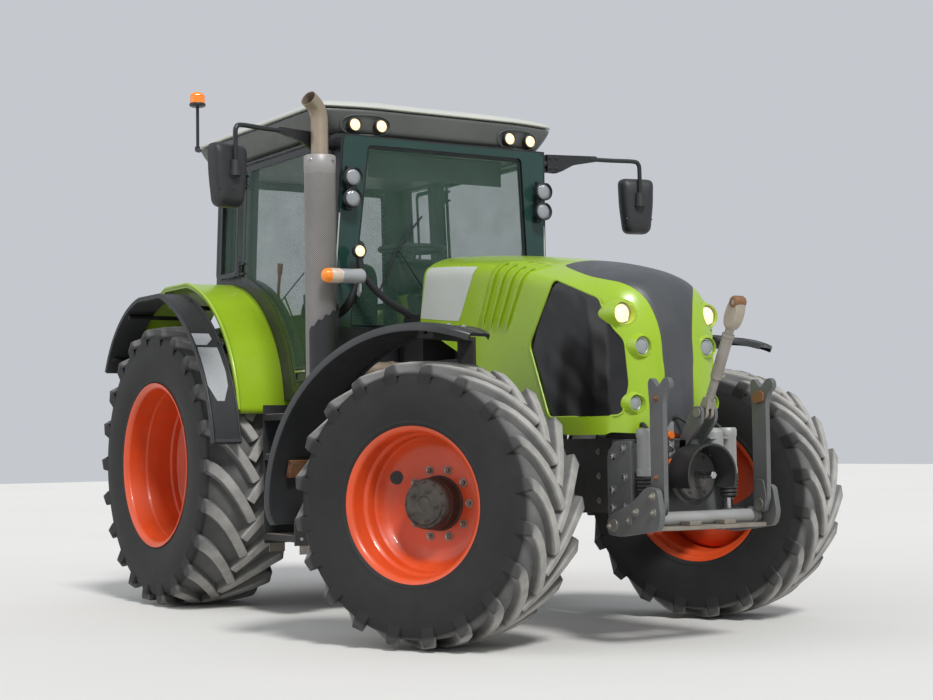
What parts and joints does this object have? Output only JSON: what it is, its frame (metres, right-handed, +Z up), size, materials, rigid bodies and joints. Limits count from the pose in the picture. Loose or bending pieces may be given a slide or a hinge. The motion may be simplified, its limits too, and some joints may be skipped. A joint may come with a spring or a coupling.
{
  "type": "farm tractor",
  "caption": "Farm tractor with a cab, opening doors and hood, turning and steered wheels, and lift linkages at front and rear.",
  "frame": {"origin": "on the ground, in the middle of the tractor's length and width", "axes": "+X forward, +Y to the tractor's left, +Z up"},
  "size_m": [5.2745, 3.1141, 3.29],
  "materials": {
    "green_paint": "gloss",
    "dark_trim": "matte",
    "cab_black": "satin",
    "grey_paint": "satin",
    "roof_grey": "satin",
    "rim_paint": "satin",
    "tyre_rubber": "matte",
    "soft_rubber": "matte",
    "clear_glass": "gloss",
    "lamp_lens": "gloss",
    "amber_lens": "gloss",
    "warm_steel": "satin",
    "bare_steel": "satin",
    "cast_grey": "matte",
    "step_steel": "matte",
    "seat_cloth": "matte"
  },
  "bodies": {
    "chassis": {"transmission": "cast_grey", "rear_axle": "cast_grey", "engine": "cast_grey", "front_frame": "cast_grey", "front_axle": "grey_paint", "fuel_tank": "dark_trim", "battery_box": "step_steel", "fender_left": "green_paint", "fender_right": "green_paint", "fender_skirts": "soft_rubber", "cab_floor": "cab_black", "cowl": "dark_trim", "cab_sides": "cab_black", "side_windows": "clear_glass", "cab_front": "cab_black", "windscreen": "clear_glass", "cab_rear": "cab_black", "rear_window": "clear_glass", "cab_roof": "roof_grey", "work_lamps": "lamp_lens", "seat": "seat_cloth", "steering_column": "dark_trim", "console": "dark_trim", "exhaust": "warm_steel", "mirrors": "dark_trim", "signal_lamps": "amber_lens", "beacon": "amber_lens", "front_linkage_frame": "grey_paint", "rear_hitch": "cast_grey", "lift_shaft": "bare_steel"},
    "hood": {"hood": "green_paint", "side_grilles": "dark_trim", "headlamps": "lamp_lens"},
    "door_left": {"door_left": "clear_glass"},
    "door_right": {"door_right": "clear_glass"},
    "wheel_rear_left": {"rim_rear_left": "rim_paint", "tyre_rear_left": "tyre_rubber"},
    "wheel_rear_right": {"rim_rear_right": "rim_paint", "tyre_rear_right": "tyre_rubber"},
    "steer_left": {"knuckle_left": "grey_paint", "front_fender_left": "dark_trim"},
    "steer_right": {"knuckle_right": "grey_paint", "front_fender_right": "dark_trim"},
    "wheel_front_left": {"rim_front_left": "rim_paint", "tyre_front_left": "tyre_rubber"},
    "wheel_front_right": {"rim_front_right": "rim_paint", "tyre_front_right": "tyre_rubber"},
    "front_lift": {"front_lift_frame": "grey_paint"},
    "front_hooks": {"front_hook_arms": "cast_grey"},
    "front_rods": {"front_lift_rods": "bare_steel"},
    "front_top_link": {"front_top_link": "grey_paint"},
    "rear_arms": {"rear_lift_arms": "cast_grey"},
    "rear_rods": {"rear_lift_rods": "bare_steel"},
    "rear_links": {"rear_lower_links": "cast_grey"},
    "rear_top_link": {"rear_top_link": "grey_paint"}
  },
  "joints": [
    {"name": "hood_hinge", "type": "hinge", "parent": "chassis", "child": "hood", "pos_m": [0.43, 0, 1.88], "axis": [0, -1, 0], "range_deg": [0, 50]},
    {"name": "door_left_hinge", "type": "hinge", "parent": "chassis", "child": "door_left", "pos_m": [-1.126, 0.79, 1.24], "axis": [0, -0.0398, 0.9992], "range_deg": [0, 60]},
    {"name": "door_right_hinge", "type": "hinge", "parent": "chassis", "child": "door_right", "pos_m": [-1.126, -0.79, 1.24], "axis": [0, -0.0398, -0.9992], "range_deg": [0, 60]},
    {"name": "rear_left_spin", "type": "hinge", "parent": "chassis", "child": "wheel_rear_left", "pos_m": [-1.44, 0.941, 0.865], "axis": [0, 1, 0], "continuous": true},
    {"name": "rear_right_spin", "type": "hinge", "parent": "chassis", "child": "wheel_rear_right", "pos_m": [-1.44, -0.941, 0.865], "axis": [0, 1, 0], "continuous": true},
    {"name": "steer_left", "type": "hinge", "parent": "chassis", "child": "steer_left", "pos_m": [1.38, 0.71, 0.685], "axis": [0, 0, 1], "range_deg": [-63, 9]},
    {"name": "steer_right", "type": "hinge", "parent": "chassis", "child": "steer_right", "pos_m": [1.38, -0.71, 0.685], "axis": [0, 0, 1], "range_deg": [-63, 9]},
    {"name": "front_left_spin", "type": "hinge", "parent": "steer_left", "child": "wheel_front_left", "pos_m": [1.2438, 0.9773, 0.685], "axis": [-0.454, 0.891, 0], "continuous": true},
    {"name": "front_right_spin", "type": "hinge", "parent": "steer_right", "child": "wheel_front_right", "pos_m": [1.5162, -0.9773, 0.685], "axis": [-0.454, 0.891, 0], "continuous": true},
    {"name": "front_lift_hinge", "type": "hinge", "parent": "chassis", "child": "front_lift", "pos_m": [2.115, 0, 0.575], "axis": [0, -1, 0], "range_deg": [-22, 12]},
    {"name": "front_hook_fold", "type": "hinge", "parent": "front_lift", "child": "front_hooks", "pos_m": [2.39, 0, 0.66], "axis": [0, 1, 0], "range_deg": [0, 92]},
    {"name": "front_rod_slide", "type": "slide", "parent": "chassis", "child": "front_rods", "axis": [0, 0, 1], "range_m": [-0.045, 0.026]},
    {"name": "front_top_link_hinge", "type": "hinge", "parent": "chassis", "child": "front_top_link", "pos_m": [2.36, 0, 1.1], "axis": [0, -1, 0], "range_deg": [-60, 20]},
    {"name": "rear_lift_hinge", "type": "hinge", "parent": "chassis", "child": "rear_arms", "pos_m": [-1.62, 0, 1.15], "axis": [0, 1, 0], "range_deg": [-18, 22]},
    {"name": "rear_rod_hinge", "type": "hinge", "parent": "rear_arms", "child": "rear_rods", "pos_m": [-2.005, 0, 1.165], "axis": [0, 1, 0], "range_deg": [-23, 19]},
    {"name": "rear_link_hinge", "type": "hinge", "parent": "chassis", "child": "rear_links", "pos_m": [-1.5, 0, 0.48], "axis": [0, 1, 0], "range_deg": [-14, 17]},
    {"name": "rear_top_link_hinge", "type": "hinge", "parent": "chassis", "child": "rear_top_link", "pos_m": [-1.86, 0, 0.9], "axis": [0, 1, 0], "range_deg": [-45, 40]}
  ],
  "couplings": [
    {"joint": "steer_right", "follows": "steer_left", "ratio": 1},
    {"joint": "front_rod_slide", "follows": "front_lift_hinge", "m_per_rad": 0.105},
    {"joint": "rear_rod_hinge", "follows": "rear_lift_hinge", "ratio": -1},
    {"joint": "rear_link_hinge", "follows": "rear_lift_hinge", "ratio": 0.762}
  ]
}
